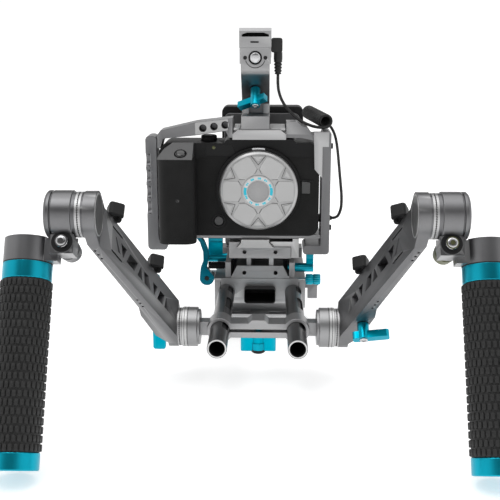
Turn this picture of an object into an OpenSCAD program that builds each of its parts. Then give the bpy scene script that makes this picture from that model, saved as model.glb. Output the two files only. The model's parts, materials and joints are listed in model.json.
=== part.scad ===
// Hand-held cinema camera rig: a mirrorless camera in a cage, on a rod baseplate with two
// offset arms and handgrips. Millimetres, Z up, lens towards -Y. The origin is the tripod
// thread in the middle of the baseplate's underside. Left and right are the operator's,
// who stands behind the camera, so right is -X.

/* [Baseplate and rods] */
// Width of the baseplate over its cheeks
base_w = 81.4; // [78:0.2:90]
// Length of the baseplate along the rods
base_len = 80; // [74:1:90]
// Distance between the rods, centre to centre
rod_pitch = 60; // [58:1:62]
// Diameter of a rod
rod_d = 15; // [14:0.5:16]
// Length of a rod
rod_len = 300; // [280:10:320]
// Height of the rods' axes above the underside
rod_z = 20; // [19:0.5:21]

/* [Rosette bracket] */
// Depth of the bracket along the rods
bracket_len = 17; // [15:1:20]
// Middle of the bracket along the rods
bracket_y = -136.5; // [-145:1:-125]
// Radius of a rosette
rosette_r = 15.7; // [14:0.1:15.8]

/* [Arms and grips] */
// Distance between an arm's two joints
arm_len = 153.5; // [150:0.5:165]
// Lean of an arm from the vertical, towards the front
arm_lean = 43; // [30:1:60]
// Width of an arm's bar
arm_w = 31.4; // [30:0.2:31.4]
// Lean of a grip from the vertical, its foot towards the front
grip_lean = 28; // [10:1:40]
// Distance of a grip's axis from the middle of the rig
grip_x = 149.3; // [148.5:0.1:151]
// Radius of a grip's collar and end cap
grip_r = 16; // [15.6:0.1:16.4]
// Length of the rubber sleeve
sleeve_len = 108.2; // [90:0.2:120]

/* [Camera and cage] */
// Distance of the lens axis from the middle, towards the left
lens_x = -1.4; // [-2:0.1:0]
// Height of the lens axis
lens_z = 115.6; // [114:0.1:117]
// Width of the camera body
camera_w = 138.4; // [136:0.2:138.4]
// Depth of the camera body
camera_d = 40; // [36:1:40]
// Radius of the lens-mount cap
cap_r = 34; // [33:0.5:35]

/* [Top handle] */
// Width of the handle's head
head_w = 26.6; // [25:0.2:27]
// Length of the handle's top bar
bar_len = 121; // [100:1:130]

/* [Trigger cable] */
// Diameter of the cable
lead_d = 2.6; // [2.4:0.1:2.8]
// Outer radius of the curly stretch
coil_r = 6.4; // [6:0.1:6.8]

/* [Hidden] */
$fn = 64;
fit = 0.05;                       // running clearance on the radius
gap = 0.3;                        // air between faces of moving pieces
rod_r = rod_d / 2;
rod_x = rod_pitch / 2;
rod_front = -186;                 // front ends of the rods
rod_slots = [[-157, -138], [-105, -77], [-59, -43]];
base_front = -base_len / 2;
cheek_t = 6;                      // thickness of a baseplate cheek
core_w = base_w - 2 * cheek_t;    // baseplate between its cheeks
base_top = 33;
riser_top = 44.5;
clamp_bottom = 51.7;
clamp_top = 66.5;
clamp_w = 54.8;
camera_bottom = 73.5;
camera_front = -45;
camera_left = 51.2;               // camera's face on the port side
camera_x = camera_left - camera_w;
shoulder_z = 155;
hump_z = 158.2;
cage_left_x = 53.4;
cage_t = 7.8;
rail_bottom = 158.8;
rail_top = 167;
handle_x = -4.2;                  // middle of the handle
head_front = -55;
seam_z = 235;                     // joint between handle post and bar
bar_top = 245;
bar_bottom = 226;
button_z = 227;
pivot_y = bracket_y + 1.5;        // axis of the arms' lower joints
face_x = 61.6;                    // plane of the lower rosette teeth
knuckle_in = 102.8;               // inner face of an arm's upper disc
knuckle_x = 114;                  // plane of the upper rosette teeth
knuckle_out = 136;
disc_out = knuckle_x - 3.4;        // outer face of an arm's upper disc
arm_foot_x = 70.5;                // outer face of its lower disc
axis_off = 8.8;                   // grip axis behind the knuckle's axis
head_top = -15.2;                 // along the grip, from the knuckle's axis
head_end = -31.3;
sleeve_top = -43.2;
sleeve_end = sleeve_top - sleeve_len;
grip_end = sleeve_end - 11.3;
barrel_r = rosette_r + 0.3;       // knuckle's barrel
bolt_r = 3;
spigot_r = 6;
coil_front = [57, -27, 172];
coil_back = [44, 30, 175];
camera_back = camera_front + camera_d;
tripod_r = 4.76;                  // 3/8 inch thread
small_thread_r = 3.175;           // 1/4 inch thread
screw_ys = [-34, 34];
screw_z = 29.6;
knob_y = -20;
knob_z = 27;
cam_x = -49;                      // pin of the cam lever
cam_z = 27.7;
lock_y = 4;
wing_y = -30;
lever_z = 41;
jaw_ys = [-6, 14];
plate_top = 69.9;
shutter_p = [-67.3, -60, 147.6];  // middle of the shutter button's top
shutter_lean = 35;
dial_p = [-45.5, -22];
release_p = [-36, 87];
screen_hinge_x = 28.7;
port_y = -26;
port_z = 86;
plug_y = -42;
tee_p = [handle_x, -38, 201];    // where the tee lever enters the post
tee_lean = 140;
knob_x = 124.3;
knuckle_bolt_z = -19.9;
lever_x = 79;                     // arm lever's axis: distance from the middle,
lever_s = 35;                      // and distance up the arm
clip_places = [62, 128];
truss_front = -4;                 // rails either side of the arm's openings
truss_rear = 5;
// Heights of each opening at the rear rail, then at the front rail
truss = [[35.9, 36.9, 31.7, 38.3], [39.8, 47.3, 42.2, 51.4], [52.8, 60.1, 56.4, 57.2],
    [67.8, 75.7, 62.8, 73.2], [80.2, 81.2, 76.6, 84.9], [85.9, 98.3, 89.8, 102.7], [103.7, 112.4, 107.1, 108.1],
    [118.9, 120.9, 111.4, 115.2]];
lead_route = [[14.8, -42, 213], [14.8, -42, 206], [15.6, -42, 199], [18, -42, 192], [22, -42, 185.5],
    [27.5, -42, 179.5], [34, -40.5, 174.2], [40.5, -37.5, 170.6], [46.5, -33.5, 168.2], [52, -29.6, 167],
    [57, -27, 166.9]];
tail_route = [[44, 30, 169.9], [50.2, 31.2, 169.6], [56, 32.6, 168], [62, 33.5, 164.5], [67, 33.6, 158.5],
    [70, 31.6, 151], [71.5, 26.5, 142], [72.2, 17, 132], [72.6, 6, 122], [73, -5, 112.5], [73.3, -14, 103],
    [72.5, -21, 94.5], [70, -25, 88.5], [67, -26, 86.4], [64, -26, 86]];

// ---- helpers ----

// A flat outline in (Y, Z), extruded from x0 to x1
module along_x(x0, x1) translate([x0, 0, 0]) rotate([90, 0, 90]) linear_extrude(x1 - x0) children();

// A flat outline in (X, Z), extruded from y0 to y1
module along_y(y0, y1) translate([0, y1, 0]) rotate([90, 0, 0]) linear_extrude(y1 - y0) children();

// A flat outline in (X, Y), extruded from z0 to z1
module along_z(z0, z1) translate([0, 0, z0]) linear_extrude(z1 - z0) children();

// Round bars along each axis
module bar_x(x0, x1, y, z, r) translate([x0, y, z]) rotate([0, 90, 0]) cylinder(h = x1 - x0, r = r);
module bar_y(y0, y1, x, z, r) translate([x, y1, z]) rotate([90, 0, 0]) cylinder(h = y1 - y0, r = r);
module bar_z(z0, z1, x, y, r) translate([x, y, z0]) cylinder(h = z1 - z0, r = r);

// A block between two corners
module block(a, b) translate(a) cube(b - a);

// A rectangle with round corners, between two corners of a plane
module rounded(a, b, r) {
    translate([a[0] + r, a[1]]) square([b[0] - a[0] - 2 * r, b[1] - a[1]]);
    translate([a[0], a[1] + r]) square([b[0] - a[0], b[1] - a[1] - 2 * r]);
    for (x = [a[0] + r, b[0] - r], y = [a[1] + r, b[1] - r]) translate([x, y]) circle(r);
}

// A radial wing for a lever turning about X, with its hub
module wing_x(x0, x1, y, z, reach, thick) {
    bar_x(x0, x1, y, z, 4);
    along_x(x0, x1) translate([y, z]) {
        translate([-thick / 2, 0]) square([thick, reach - 2]);
        translate([-thick / 2 - 1, reach - 5]) rounded([0, 0], [thick + 2, 5], 1.5);
    }
}

// Places the children on one side: +1 is left (+X), -1 is right (-X)
module side(s) if (s > 0) children(); else mirror([1, 0, 0]) children();

// Frame of an arm: Z along the arm from its lower joint, Y across its bar
module arm_frame() translate([0, pivot_y, rod_z]) rotate([arm_lean, 0, 0]) children();

knuckle_y = pivot_y - arm_len * sin(arm_lean);
knuckle_z = rod_z + arm_len * cos(arm_lean);

// Frame of a grip: -Z runs down the grip, X = Y = 0 on the knuckle's axis
module grip_frame() translate([0, knuckle_y, knuckle_z]) rotate([-grip_lean, 0, 0]) children();

// ---- baseplate ----

module rod_bores(y0, y1) for (x = [-rod_x, rod_x]) bar_y(y0, y1, x, rod_z, rod_r + fit);

module baseplate() {
    color("gray") difference() {
        union() {
            block([-core_w / 2, base_front, 10], [core_w / 2, -base_front, base_top]);
            block([-core_w / 2, base_front + 4, 0], [core_w / 2, -base_front, 10]);
            block([-27, base_front - 10, 0], [27, base_front + 5, 2.7]);
        }
        rod_bores(base_front - 1, -base_front + 1);
        along_y(base_front - 1, base_front + 22) rounded([-14, 12.4], [14, 26.2], 3);
        bar_z(-1, 11, 0, 0, tripod_r);
        bar_z(-1, 10, 0, 18, small_thread_r);
        for (s = [-1, 1]) side(s) {
            block([8.5, base_front - 8.5, 1], [25, base_front - 1, 4]);
            for (y = screw_ys) bar_x(24, core_w / 2 + 1, y, screw_z, 1.55);
        }
    }
}

module baseplate_cheeks() {
    color("dimgray") {
        for (s = [-1, 1]) side(s) difference() {
            along_x(core_w / 2, base_w / 2) difference() {
                rounded([base_front, 5], [-base_front, base_top], 3);
                translate([8, 9]) rounded([0, 0], [22, 6], 2.9);
            }
            rod_bores(base_front - 1, -base_front + 1);
            for (y = screw_ys) {
                bar_x(core_w / 2 - 1, base_w / 2 + 1, y, screw_z, 1.55);
                bar_x(base_w / 2 - 1.5, base_w / 2 + 1, y, screw_z, 2.6);
            }
            if (s > 0) bar_x(core_w / 2 - 1, base_w / 2 + 1, knob_y, knob_z, 2 + fit);
            if (s > 0) bar_x(core_w / 2 + 3, base_w / 2 + 1, 10, 15, 2 + fit);
        }
        // lug and pin of the cam lever, on the right cheek
        block([cam_x - 4, -12, cam_z - 4], [-base_w / 2, -7, cam_z + 4]);
        bar_y(-22.6, -12, cam_x, cam_z, 2);
    }
}

module base_screws() {
    color("black") for (s = [-1, 1], y = screw_ys) side(s) {
        bar_x(25, base_w / 2 - 1.5, y, screw_z, 1.5);
        difference() {
            bar_x(base_w / 2 - 1.5, base_w / 2 - 0.1, y, screw_z, 2.55);
            along_x(base_w / 2 - 1, base_w / 2) translate([y, screw_z]) circle(1.2, $fn = 6);
        }
    }
}

module rod(x) {
    difference() {
        bar_y(rod_front, rod_front + rod_len, x, rod_z, rod_r);
        bar_y(rod_front - 1, rod_front + rod_len + 1, x, rod_z, rod_r - 1.5);
        // slots along the upper side, leaning towards the left
        for (span = rod_slots) translate([x, 0, rod_z]) rotate([0, 40, 0])
            along_z(0, rod_d) rounded([-3, span[0]], [3, span[1]], 2.9);
    }
}

module rod_right() color("gray") rod(-rod_x);
module rod_left() color("gray") rod(rod_x);

module riser_plate() {
    color("gray") difference() {
        union() {
            along_y(base_front + 1, 30)
                polygon([[-26.2, base_top], [26.2, base_top], [20.6, riser_top], [-20.6, riser_top]]);
            for (s = [-1, 1]) side(s) {
                block([24, base_front + 3, base_top], [31, 30, 34.5]);
                block([26.2, base_front + 3, base_top], [31, 30, 47]);
                block([8, -36, riser_top], [12, 20, clamp_bottom]);
            }
        }
        for (s = [-1, 1]) bar_y(base_front, -20, s * 14, 38, 1.8);
        bar_x(-32, -26, lock_y, lever_z, 2.5 + fit);
        bar_x(26, 32, wing_y, lever_z, 2.5 + fit);
    }
}

// ---- quick-release clamp ----

module qr_clamp() {
    color("gray") difference() {
        block([-clamp_w / 2, base_front, clamp_bottom], [clamp_w / 2, 24, clamp_top]);
        // dovetail channel for the camera plate
        along_y(base_front - 1, 25) polygon([[-21, 62], [30, 62], [30, 67], [-16.8, 67]]);
        for (s = [-1, 1]) bar_y(base_front - 1, base_front + 9, s * 13.8, 57.5, 1.8);
        for (y = jaw_ys) bar_x(-28, 28, y, 57, 2.5 + fit);
    }
}

module qr_jaw() {
    color("silver") {
        along_y(base_front + 1, 23) polygon([[8.6, 66.8], [12.4, 62.3], [27.8, 62.3], [27.8, 52], [34.5, 52],
            [34.5, 69.4], [29, 69.4], [29, 66.8]]);
        for (y = jaw_ys) bar_x(-27, 28, y, 57, 2.5);
    }
}

module qr_lever() {
    eye = [for (a = [170:15:380]) 6.6 * [cos(a), sin(a)]];
    blade = [[0, 10], [1.8, 17], [1.4, 26], [-2, 35], [-7.5, 41.2], [-10.5, 40], [-6, 34], [-3.2, 25],
        [-3, 17], [-5.6, 10]];
    color("deepskyblue") along_y(-22, -15.5) translate([cam_x, cam_z]) difference() {
        polygon(concat(eye, blade));
        circle(2 + fit);
    }
}

module lock_lever() {
    color("deepskyblue") {
        bar_x(-32, -25, lock_y, lever_z, 2.5);
        bar_x(-36, -31.4, lock_y, lever_z, 4);
        wing_x(-49, -35.5, lock_y, lever_z, 20, 4);
    }
}

module wing_lock() {
    color("deepskyblue") {
        bar_x(25, 31.5, wing_y, lever_z, 2.5);
        bar_x(31.5, 41.5, wing_y, lever_z, 4);
        wing_x(41.5, 48, wing_y, lever_z, 13.5, 4);
    }
}

module height_knob() {
    color("deepskyblue") {
        bar_x(core_w / 2 + 2, base_w / 2 + 1.2, knob_y, knob_z, 2);
        bar_x(base_w / 2 + 1.2, base_w / 2 + 14.6, knob_y, knob_z, 4.9);
    }
}

module ratchet_lever() {
    color("dimgray") {
        bar_x(core_w / 2 + 4, base_w / 2 + 1, 10, 15, 2);
        bar_x(base_w / 2 + 1, base_w / 2 + 9, 10, 15, 5);
        along_x(base_w / 2 + 4.3, base_w / 2 + 13.3) polygon([[5.2, 14], [14.8, 14], [14.4, 4], [12, 0.2],
            [8, 0.2], [5.6, 4]]);
    }
}

// ---- rear power plate ----

module power_plate() {
    color("dimgray") difference() {
        union() {
            block([-42, 84, 9], [42, 104, 31]);
            along_y(92, 100) rounded([-38, 30], [38, 168], 6);
        }
        rod_bores(83, 105);
    }
}

module battery() color("black") along_y(104.2, 128) rounded([-41, 52], [42, 174], 6);

// ---- camera ----

module camera_plate() {
    color("silver") difference() {
        along_y(-45, 20) polygon([[-20.5, 62.4], [11.9, 62.4], [8, 67], [8, plate_top], [-16.6, plate_top],
            [-16.6, 67]]);
        for (y = [-34, 10]) bar_z(61, 66, -4.3, y, 4.5);
        bar_z(plate_top - 4, plate_top + 1, -4.3, -24, 3.1 + fit);
    }
}

module camera_body() {
    color("black") difference() {
        union() {
            along_y(camera_front, camera_back) {
                rounded([camera_x, camera_bottom], [camera_left, shoulder_z], 9);
                rounded([-32, 120], [32, hump_z], 6);
            }
            bar_y(camera_front - 4, camera_front, lens_x, lens_z, 36.5);
            // eyepiece
            along_y(camera_back, camera_back + 9) rounded([-14, 132], [14, 154], 5);
        }
        // lens throat and its recess for the mount ring
        bar_y(camera_front - 5, camera_front + 14, lens_x, lens_z, 26.5);
        bar_y(camera_front - 5, camera_front - 2, lens_x, lens_z, 33.5);
        // wells of the shutter button, dial, lens release and screen
        bar_z(151, 160, dial_p[0], dial_p[1], 7.6);
        bar_y(camera_front - 1, camera_front + 6, release_p[0], release_p[1], 4.4);
        along_y(camera_back - 5, camera_back + 1) rounded([-47, 80], [31.5, 128], 3);
        // port for the trigger plug
        bar_x(camera_left - 6, camera_left + 1, port_y, port_z, 2);
    }
}

module camera_grip() {
    color("black") difference() {
        union() {
            along_z(70.6, 143) rounded([camera_x + 0.4, -68], [-55, camera_front - 0.1], 9);
            // sloping top with a rounded outer shoulder
            intersection() {
                along_x(camera_x + 0.4, -57) polygon([[-66.5, 143], [-46, 143], [-45.2, 155.5],
                    [-49, 156], [-60, 147.8], [-66.5, 143.6]]);
                along_y(-68, -45.1) polygon([[-86.8, 142.9], [-85.6, 146.5], [-82, 151], [-76, 155],
                    [-70, 157], [-56.9, 157], [-56.9, 142.9]]);
            }
        }
        translate(shutter_p) rotate([shutter_lean, 0, 0]) translate([0, 0, -6]) cylinder(h = 20, r = 5.4);
    }
}

module shutter_button() {
    color("black") translate(shutter_p) rotate([shutter_lean, 0, 0]) {
        translate([0, 0, -2.5]) cylinder(h = 4.2, r = 4.6);
        translate([0, 0, -3.5]) cylinder(h = 1, r = 5.1);
    }
}

module mode_dial() color("black") bar_z(151.4, 159.6, dial_p[0], dial_p[1], 7);
module release_button() color("black")
    bar_y(camera_front - 1.6, camera_front + 3, release_p[0], release_p[1], 4);

module mount_ring() {
    color("silver") difference() {
        bar_y(camera_front - 4, camera_front - 2, lens_x, lens_z, 33.4);
        bar_y(camera_front - 5, camera_front - 1, lens_x, lens_z, 25);
    }
}

module rear_screen() {
    color("black") {
        along_y(camera_back - 4.7, camera_back - 0.3) rounded([-46, 81], [27.6, 127], 2);
        bar_z(84, 124, screen_hinge_x, camera_back - 1.6, 1.2);
    }
}

module body_cap() {
    color("silver") {
        bar_y(camera_front - 13, camera_front - 4.3, lens_x, lens_z, cap_r);
        bar_y(camera_front - 15, camera_front - 13, lens_x, lens_z, cap_r - 3);
        bar_y(camera_front - 4.3, camera_front, lens_x, lens_z, 24.6);
    }
}

// ---- cage ----

module cage_right() {
    color("gray") difference() {
        along_y(-44, -24) {
            rounded([-99.2, 60], [-89.4, 161], 4);
            rounded([-96, 60], [-82, 69.6], 3);
        }
        // finger scallops along the outer edge
        for (z = [98, 112, 126, 140]) bar_x(-100, -95.2, -46, z, 6);
    }
}

module cage_left() {
    color("gray") difference() {
        union() {
            along_y(-42, -14) {
                rounded([cage_left_x, 56], [cage_left_x + cage_t, 165], 3);
                rounded([38, 56], [cage_left_x + 4, 64], 3);
            }
        }
        // window for the ports
        along_x(cage_left_x - 1, cage_left_x + cage_t + 1) rounded([-33, 74], [-19, 146], 4);
    }
}

module cage_top() {
    color("gray") difference() {
        union() {
            along_y(-42, -20) {
                polygon([[-89.3, 150], [-89.3, 161], [-86, 165.4], [-55.3, 172.5], [-23.8, 176.2],
                    [-23.8, 159.2], [-27, 159.2], [-30, 165], [-55.4, 161.2], [-84, 158.2], [-86.4, 150]]);
                polygon([[-24, 159.2], [-24, 163], [22.4, 163], [22.4, 159.2]]);
                polygon([[22.3, 159.2], [22.3, 172.6], [32, 172.6], [36, 169.4], [40, 168.4], [44.4, 162.2],
                    [cage_left_x - 0.2, 162.2], [cage_left_x - 0.2, 157], [46.7, 156.8], [35.7, 159.2]]);
            }
        }
        for (i = [0:2]) bar_y(-43, -30, -49.4 + 9.6 * i, 167.4 + 1.4 * i, small_thread_r);
        bar_z(160, 173, 28, -31, small_thread_r);
    }
}

module cage_bottom() {
    color("gray") difference() {
        block([-89.2, -40, plate_top + 0.1], [cage_left_x - 0.1, -8, camera_bottom - 0.1]);
        for (x = [-60, 40]) bar_z(69, 75, x, -24, 2.2);
        bar_z(69, 75, -4.3, -24, small_thread_r);
    }
}

module cage_screws() {
    color("black") {
        bar_z(plate_top - 4, camera_bottom - 0.4, -4.3, -24, 3.1);
        for (z = [80, 152]) bar_x(cage_left_x + cage_t, cage_left_x + cage_t + 1.6, -38, z, 2.4);
    }
}

module cable_clamp() {
    color("gray") {
        along_y(camera_front - 3, camera_front - 0.1)
            polygon([[45.8, 164.9], [58.8, 164.9], [58.8, 152.4], [53.4, 152.4], [53.4, 125.5], [46.8, 133]]);
        block([45.8, camera_front - 0.2, 155.4], [58.8, -42.1, 164.9]);
    }
}

module top_rail() {
    color("silver") difference() {
        union() {
            along_y(-52, -42.1) polygon([[-23.5, rail_bottom], [22, rail_bottom], [22, 163.5],
                [17, rail_top], [-19, rail_top], [-23.5, 163.5]]);
            along_y(-42.2, -8) polygon([[-23.5, 163.1], [22, 163.1], [22, 164], [17, rail_top],
                [-19, rail_top], [-23.5, 164]]);
        }
        for (y = [-20, -14]) bar_z(158, 168, 15, y, 1.7);
    }
}

// ---- top handle ----

module handle_post() {
    color("gray") difference() {
        union() {
            along_x(handle_x - 13, handle_x + 13)
                polygon([[head_front, 222], [head_front, seam_z], [-14, seam_z], [-14, 222]]);
            along_x(handle_x - 12, handle_x + 12)
                polygon([[head_front, 222], [-54.6, 217], [-53.4, 214.2], [-51, 212], [-27, 191.8],
                    [-24, 187], [-24, 178.4], [-50, 178.4], [-50, rail_top + 0.1],
                    [0, rail_top + 0.1], [0, 178], [-4, 190], [-11, 206], [-14, 222]]);
        }
        bar_y(head_front - 1, head_front + 8, handle_x, button_z, 5.6);
        for (s = [-1, 1]) bar_y(head_front - 1, head_front + 4, handle_x + s * 8.4, button_z, 1.6);
        block([handle_x - 6, -25, 178.4], [handle_x + 6.6, -16, 189]);
        translate(tee_p) rotate([tee_lean, 0, 0]) translate([0, 0, -5]) cylinder(h = 20, r = 2.5 + fit);
    }
}

module handle_bar() {
    color("gray") difference() {
        union() {
            along_x(handle_x - head_w / 2, handle_x + head_w / 2)
                polygon([[head_front, seam_z + 0.1], [head_front, bar_top + 3.6], [-52, bar_top + 6],
                    [-20, bar_top + 6], [-14, bar_top], [head_front + bar_len, bar_top],
                    [head_front + bar_len + 6, bar_top - 6], [head_front + bar_len, bar_bottom],
                    [-13.9, bar_bottom], [-13.9, seam_z + 0.1]]);
        }
        // cold shoe slot, open at the front
        along_y(head_front - 1, -32) translate([handle_x, 244])
            polygon([[-11.2, 0], [11.2, 0], [11.2, 1.6], [7, 3.2], [-7, 3.2], [-11.2, 1.6]]);
        bar_x(handle_x + 9, handle_x + head_w / 2 + 1, plug_y, 238, 2.5);
        bar_z(bar_top - 9, bar_top + 1, handle_x, 30, small_thread_r);
    }
}

module record_button() {
    color("silver") bar_y(head_front - 2, head_front + 4, handle_x, button_z, 4.4);
}

module handle_lever() {
    color("deepskyblue") translate(tee_p) rotate([tee_lean, 0, 0]) {
        translate([0, 0, -4]) cylinder(h = 11, r = 2.5);
        translate([0, 0, 1]) cylinder(h = 17, r = 4.2);
        rotate([0, 0, 30]) translate([-16, -3, 10]) cube([26, 6, 5.5]);
    }
}

// ---- trigger cable ----

// A tube through a list of points, one polyhedron with flat ends
function unit(v) = v / norm(v);
function along(p, i) = unit(p[min(i + 1, len(p) - 1)] - p[max(i - 1, 0)]);
function across(d) = unit(cross(d, abs(d[1]) < 0.9 ? [0, 1, 0] : [1, 0, 0]));
module tube(p, r) {
    n = 8;
    rings = [for (i = [0:len(p) - 1]) let (d = along(p, i), a = across(d), b = cross(d, a))
        for (k = [0:n - 1]) p[i] + r * (cos(360 * k / n) * a + sin(360 * k / n) * b)];
    walls = [for (i = [0:len(p) - 2], k = [0:n - 1])
        [i * n + k, i * n + (k + 1) % n, (i + 1) * n + (k + 1) % n, (i + 1) * n + k]];
    ends = [[for (k = [n - 1:-1:0]) k], [for (k = [0:n - 1]) (len(p) - 1) * n + k]];
    polyhedron(points = rings, faces = concat(walls, ends), convexity = 6);
}

module trigger_plug() {
    color("black") {
        along_y(plug_y - 4, plug_y + 4) rounded([handle_x + head_w / 2 + 0.1, 231], [18.4, 243], 2);
        bar_z(213, 231.5, 14.8, plug_y, 2.8);
        bar_x(handle_x + 9.5, handle_x + head_w / 2 + 2, plug_y, 238, 1.8);
    }
}

module trigger_lead() color("black") tube(lead_route, lead_d / 2);
module trigger_tail() color("black") tube(tail_route, lead_d / 2);

module trigger_coil() {
    d = coil_back - coil_front;
    color("black") translate(coil_front)
        rotate([0, acos(d[2] / norm(d)), atan2(d[1], d[0])]) cylinder(h = norm(d), r = coil_r);
}

module camera_plug() {
    color("black") {
        bar_x(camera_left - 5, camera_left + 0.3, port_y, port_z, 1.8);
        bar_x(camera_left + 0.3, 64, port_y, port_z, 3.6);
    }
}

// ---- rosette bracket ----

module rosette_bracket() {
    front = bracket_y - bracket_len / 2;
    back = bracket_y + bracket_len / 2;
    color("gray") difference() {
        union() {
            block([-24, front, rod_z - 5.8], [24, back, rod_z + 5.8]);
            for (x = [-rod_x, rod_x]) bar_y(front, back, x, rod_z, rod_r + 2.6);
            for (s = [-1, 1]) side(s) {
                block([rod_x + 6, pivot_y - 5.5, rod_z - 5.5], [50, pivot_y + 5.5, rod_z + 5.5]);
                bar_x(48, face_x - 1.6, pivot_y, rod_z, rosette_r);
                bar_x(46, 48, pivot_y, rod_z, rosette_r - 1.6);
                bar_x(face_x - 1.6, face_x - gap / 2, pivot_y, rod_z, rosette_r - 1);
            }
            along_y(front, back)
                polygon([[-9, rod_z + 5], [9, rod_z + 5], [5, rod_z + 8.6], [-5, rod_z + 8.6]]);
        }
        rod_bores(front - 1, back + 1);
        block([-rod_x, front - 1, rod_z - 1.2], [rod_x, back + 1, rod_z + 1.2]);
        bar_z(rod_z - 7, rod_z - 1, 0, bracket_y, 3 + fit);
        bar_z(rod_z + 1, rod_z + 6, 0, bracket_y, 3 + fit);
        for (s = [-1, 1]) side(s) bar_x(46.5, face_x + 1, pivot_y, rod_z, spigot_r + fit);
    }
}

module bracket_screw() {
    color("deepskyblue") {
        bar_z(rod_z - 6.4, rod_z + 5, 0, bracket_y, 3);
        bar_z(rod_z - 12, rod_z - 6.4, 0, bracket_y, 5);
        along_z(rod_z - 19, rod_z - 7.5) translate([0, bracket_y]) rounded([-14, -2.6], [14, 2.6], 2);
        bar_z(rod_z - 20, rod_z - 12, 0, bracket_y, 5.5);
    }
}

// ---- arms ----

module arm(s) {
    upper = arm_len;
    side(s) arm_frame() difference() {
        union() {
            intersection() {
                along_y(-arm_w / 2, arm_w / 2) polygon([[face_x + 1.6, -20], [face_x + 1.6, 14],
                    [knuckle_in, upper - 14], [knuckle_in, upper + 20], [disc_out, upper + 20],
                    [disc_out, upper - 12], [87, 58], [87, 46], [79, 14], [arm_foot_x, 2], [arm_foot_x, -20]]);
                along_x(face_x, knuckle_x) {
                    circle(arm_w / 2);
                    translate([0, upper]) circle(arm_w / 2);
                    translate([-arm_w / 2, 0]) square([arm_w, upper]);
                }
            }
            bar_x(face_x + gap / 2, face_x + 2, 0, 0, rosette_r - 1);
            bar_x(face_x - 9, face_x + 2, 0, 0, spigot_r);
            bar_x(disc_out - 0.5, knuckle_x - gap / 2, 0, upper, rosette_r - 1);
        }
        if (s > 0) bar_y(-arm_w / 2 - 1, -3, lever_x, lever_s, bolt_r + fit);
        if (s < 0) bar_x(arm_foot_x - 5, arm_foot_x + 1, 0, 0, bolt_r + fit);
        bar_x(knuckle_in + 3, knuckle_x, 0, upper, spigot_r + fit);
        // truss openings through the bar, and a slit beyond each rail
        along_x(60, 120) {
            for (t = truss)
                polygon([[truss_rear, t[0]], [truss_rear, t[1]], [truss_front, t[3]], [truss_front, t[2]]]);
            for (slit = [[-8.2, 116.3], [9.7, 118.4]])
                rounded([slit[0] - 0.7, slit[1] - 8], [slit[0] + 0.7, slit[1] + 8], 0.6);
        }
        // two rows of small blind holes in the front face
        for (row = [[103.7, 124.7], [83.8, 59.7]], i = [0:2])
            bar_y(-arm_w / 2 - 1, -arm_w / 2 + 2, row[0] + 1.4 * i, row[1] + 4.75 * i, 0.9);
    }
}

module arm_right() color("gray") arm(-1);
module arm_left() color("gray") arm(1);

// On the front face of the left arm
module arm_lever_left() {
    face = -arm_w / 2;
    color("deepskyblue") arm_frame() translate([lever_x, 0, lever_s]) rotate([0, -12, 0]) {
        bar_y(face - 1, -4, 0, 0, bolt_r);
        bar_y(face - 13, face - 0.4, 0, 0, 4.4);
        along_y(face - 13, face - 7) rounded([-8, -3.2], [19, 3.2], 2);
    }
}

// On the lower joint's own axis, outside the right arm, with its wing hanging down
module arm_lever_right() {
    color("deepskyblue") side(-1) translate([0, pivot_y, rod_z]) {
        bar_x(arm_foot_x - 4.5, 74.2, 0, 0, bolt_r);
        bar_x(74, 80, 0, 0, 4.4);
        along_y(-2, 2) rounded([74, -18.7], [84, 3], 2);
    }
}

// Two cable clips on the bar's rear face, open towards the middle
module arm_clips(s) {
    side(s) arm_frame() for (z = clip_places) {
        x = face_x + 1.6 + (z - 14) * (knuckle_in - face_x - 1.6) / (arm_len - 28);
        along_y(arm_w / 2 + 0.1, arm_w / 2 + 9.8) translate([x, z]) rotate(25) difference() {
            rounded([-7, -5.5], [4, 5.5], 2.5);
            translate([-2.5, 0]) circle(2.8);
            translate([-8, -1.2]) square([5.5, 2.4]);
        }
    }
}

module arm_clips_right() color("black") arm_clips(-1);
module arm_clips_left() color("black") arm_clips(1);

// ---- grips ----

module knuckle(s) {
    side(s) grip_frame() difference() {
        union() {
            bar_x(knuckle_x + gap / 2, knuckle_x + 4.5, 0, 0, rosette_r - 0.7);
            bar_x(knuckle_x + 4.5, knuckle_out - 4.7, 0, 0, barrel_r);
            bar_x(knuckle_out - 4.7, knuckle_out - 3.7, 0, 0, barrel_r - 1.1);
            bar_x(knuckle_out - 3.7, knuckle_out - 1.5, 0, 0, barrel_r);
            translate([knuckle_out - 1.5, 0, 0]) rotate([0, 90, 0])
                cylinder(h = 1.5, r1 = barrel_r, r2 = barrel_r - 1.5);
            bar_x(knuckle_in + 4, knuckle_x + 2, 0, 0, spigot_r);
        }
        bar_x(knuckle_out - 1.5, knuckle_out + 1, 0, 0, 11);
    }
}

module knuckle_right() color("gray") knuckle(-1);
module knuckle_left() color("gray") knuckle(1);

module grip_head(s) {
    side(s) grip_frame() difference() {
        union() {
            bar_z(head_end, head_top, grip_x, axis_off, grip_r);
            block([128, -1, head_end], [grip_x, 10, head_top]);
            block([117, -6, -27.5], [132.3, 8, -11]);
            bar_y(-6.5, 9, knob_x, knuckle_bolt_z, 7.6);
        }
        bar_x(100, knuckle_out + 0.1, 0, 0, barrel_r + fit);
        bar_y(-8, 12, knob_x, knuckle_bolt_z, bolt_r + fit);
        bar_z(head_end - 1, head_end + 9, grip_x, axis_off, 8);
    }
}

module grip_head_right() color("gray") grip_head(-1);
module grip_head_left() color("gray") grip_head(1);

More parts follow.
